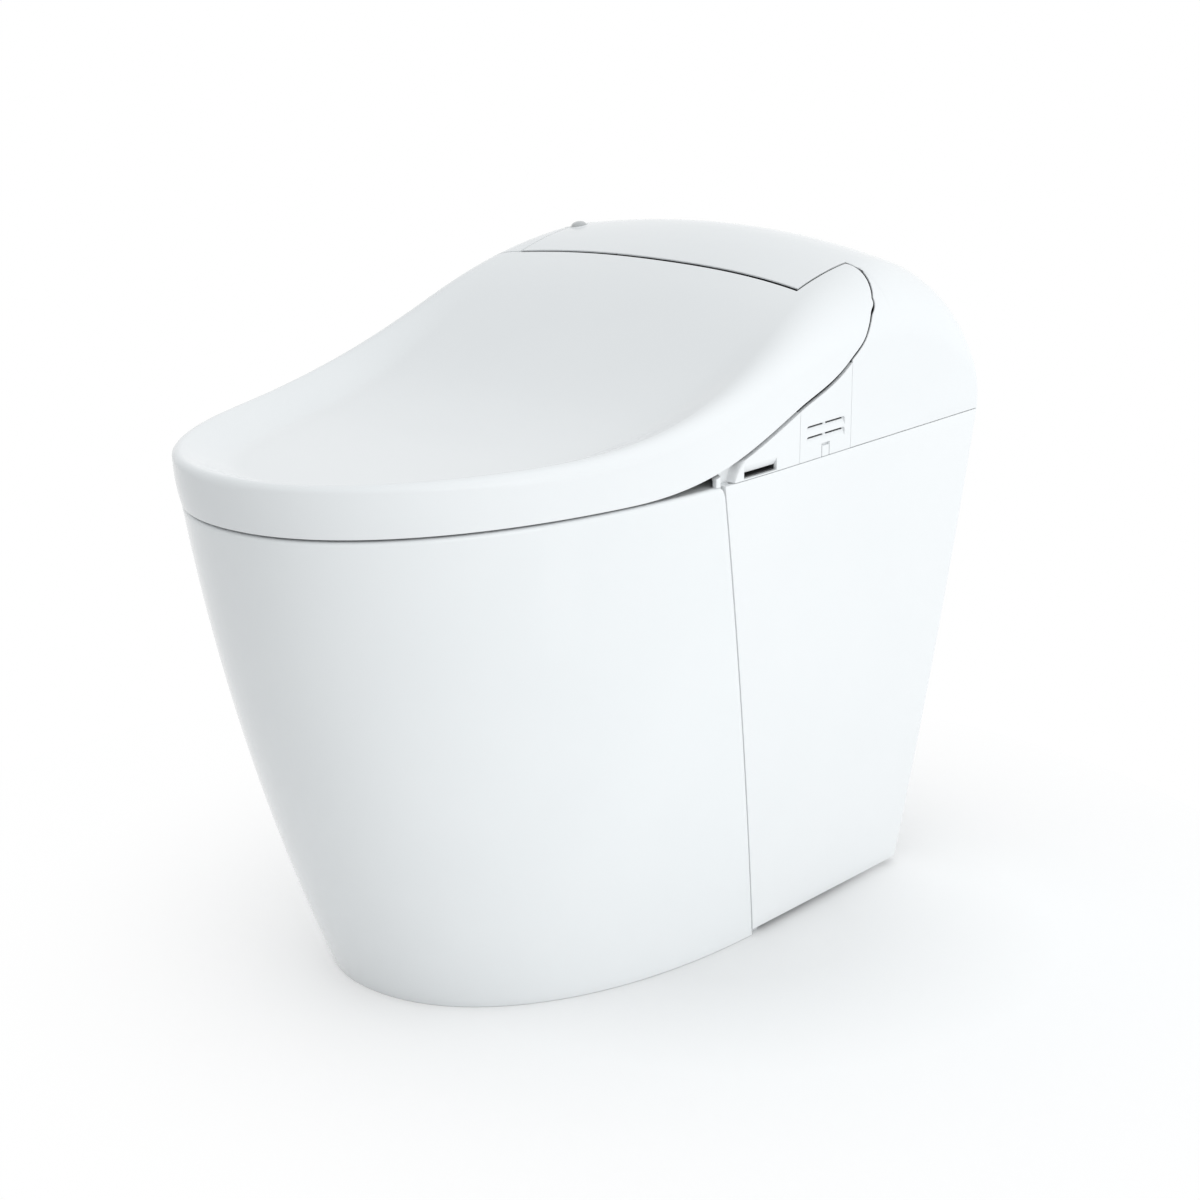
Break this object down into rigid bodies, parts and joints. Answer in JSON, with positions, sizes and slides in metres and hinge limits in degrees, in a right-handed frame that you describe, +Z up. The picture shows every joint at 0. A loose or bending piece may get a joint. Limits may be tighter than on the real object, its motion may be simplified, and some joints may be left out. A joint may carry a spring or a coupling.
{
  "type": "smart toilet",
  "caption": "One-piece skirted smart toilet with a dished powered lid, heated seat, wash wand, warm-air dryer, side odour filter and rear side panels.",
  "frame": {"origin": "on the floor under the middle of the overall box", "axes": "+X to the side with the filter cover, +Y to the rear, +Z up; the bowl's nose points to -Y"},
  "size_m": [0.39, 0.6914, 0.555],
  "materials": {
    "glaze": "high gloss white glaze",
    "panel": "gloss white",
    "cover": "gloss white",
    "lid": "gloss white",
    "lid_inside": "satin white",
    "seat": "satin white",
    "inner_white": "moulded matte",
    "housing": "satin white",
    "slot_grey": "dark matte",
    "lens": "smoky clear",
    "rubber": "soft grey",
    "steel": "turned",
    "bracket": "zinc plated",
    "wand": "polished",
    "gear": "natural acetal",
    "dark_case": "moulded black",
    "rotor": "moulded black",
    "filter_foam": "charcoal block",
    "tank": "translucent grey",
    "pipe": "white tube",
    "brass": "cast",
    "fitting": "plated",
    "board": "green laminate",
    "metal_case": "folded sheet"
  },
  "bodies": {
    "body": {"ceramic_bowl": "glaze", "right_side_panel": "panel", "left_side_panel": "panel", "top_base": "inner_white", "base_bolts": "steel", "rear_cover": "cover", "sensor_lens": "lens", "power_gland": "rubber", "right_flank_cover": "cover", "left_flank_cover": "cover", "air_inlet_frame": "slot_grey", "filter_case": "inner_white", "odour_fan_case": "dark_case", "lid_hinge_towers": "inner_white", "lid_bushes": "gear", "lid_drive": "dark_case", "lid_damper": "dark_case", "front_housing": "housing", "seat_hinge_blocks": "inner_white", "wand_cradle": "inner_white", "wand_motor": "dark_case", "dryer_fan_case": "dark_case", "dryer_duct": "dark_case", "water_heater": "tank", "valve_block": "brass", "flush_tank": "tank", "flush_pump": "dark_case", "flush_pipe": "pipe", "inlet_fitting": "fitting", "control_board": "board", "power_supply": "metal_case", "drain_connector": "rubber", "floor_brackets": "bracket"},
    "lid": {"lid_shell": "lid", "lid_liner": "lid_inside", "lid_bumpers": "rubber", "lid_shafts": "steel"},
    "seat": {"seat_base": "seat", "seat_ring": "seat", "seat_pins": "steel", "seat_bumpers": "rubber"},
    "wand": {"wash_wand": "wand", "nozzle_tip": "wand"},
    "wand_gear": {"wand_pinion": "gear"},
    "dryer_rotor": {"dryer_fan_rotor": "rotor"},
    "odour_rotor": {"odour_fan_rotor": "rotor"},
    "filter": {"filter_cover": "cover", "filter_cartridge": "filter_foam"}
  },
  "joints": [
    {"name": "lid_hinge", "type": "hinge", "parent": "body", "child": "lid", "pos_m": [0, 0.1895, 0.52], "axis": [-1, 0, 0], "range_deg": [0, 95]},
    {"name": "seat_hinge", "type": "hinge", "parent": "body", "child": "seat", "pos_m": [0, 0.084, 0.432], "axis": [-1, 0, 0], "range_deg": [0, 90]},
    {"name": "wand_slide", "type": "slide", "parent": "body", "child": "wand", "axis": [0, -0.9063, -0.4226], "range_m": [0, 0.11]},
    {"name": "wand_gear_spin", "type": "hinge", "parent": "body", "child": "wand_gear", "pos_m": [0, 0.16603, 0.43045], "axis": [1, 0, 0], "range_deg": [-2, 1054]},
    {"name": "dryer_fan_spin", "type": "hinge", "parent": "body", "child": "dryer_rotor", "pos_m": [-0.062, 0.254, 0.426], "axis": [0, 0, 1], "continuous": true},
    {"name": "odour_fan_spin", "type": "hinge", "parent": "body", "child": "odour_rotor", "pos_m": [0.115, 0.129, 0.431], "axis": [1, 0, 0], "continuous": true},
    {"name": "filter_slide", "type": "slide", "parent": "body", "child": "filter", "axis": [1, 0, 0], "range_m": [0, 0.066]}
  ],
  "couplings": [
    {"joint": "seat_hinge", "follows": "lid_hinge", "ratio": 0.947},
    {"joint": "wand_gear_spin", "follows": "wand_slide", "rad_per_m": 166.67}
  ]
}
